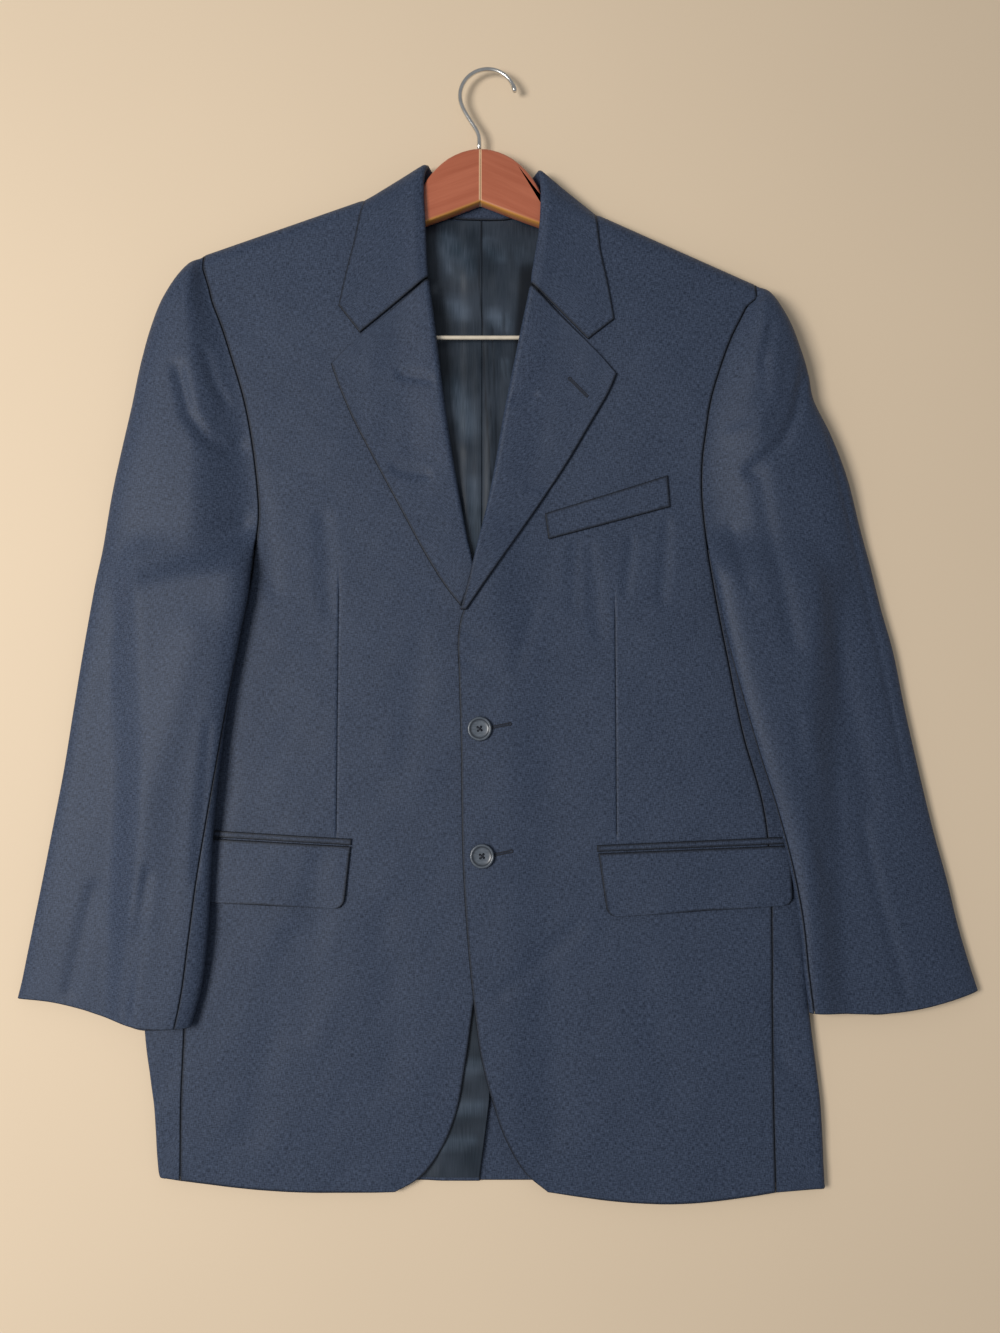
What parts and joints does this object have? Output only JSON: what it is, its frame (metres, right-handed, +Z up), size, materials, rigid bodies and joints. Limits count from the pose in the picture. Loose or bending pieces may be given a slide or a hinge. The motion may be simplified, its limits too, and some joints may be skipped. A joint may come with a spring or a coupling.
{
  "type": "suit jacket on a wooden hanger",
  "caption": "Single-breasted notch-lapel suit jacket, buttoned and laid flat on its back, with a wooden hanger, wire hook and trouser bar inside.",
  "frame": {"origin": "on the surface that the jacket lies on, under the middle of the whole object's bounding box", "axes": "+Y from the hem to the hanger's hook, +Z up from the back panels to the fronts, +X towards the wearer's left"},
  "size_m": [0.7638, 0.9274, 0.03],
  "materials": {
    "suiting": "matte wool",
    "lining": "satin",
    "buttons": "satin",
    "hanger_wood": "gloss lacquer",
    "hanger_wire": "polished",
    "hanger_rod": "polished"
  },
  "bodies": {
    "root": {"back_left": "suiting", "back_right": "suiting", "side_panel_left": "suiting", "side_panel_right": "suiting", "front_left": "suiting", "front_right": "suiting", "lapel_left": "suiting", "lapel_right": "suiting", "collar": "suiting", "top_sleeve_left": "suiting", "top_sleeve_right": "suiting", "under_sleeve_left": "suiting", "under_sleeve_right": "suiting", "pocket_flap_left": "suiting", "pocket_flap_right": "suiting", "pocket_jet_left": "suiting", "pocket_jet_right": "suiting", "breast_welt": "suiting", "back_lining_left": "lining", "back_lining_right": "lining", "button_upper": "buttons", "button_lower": "buttons", "hanger_arm_left": "hanger_wood", "hanger_arm_right": "hanger_wood", "hanger_hook": "hanger_wire", "trouser_bar": "hanger_rod"}
  },
  "joints": []
}
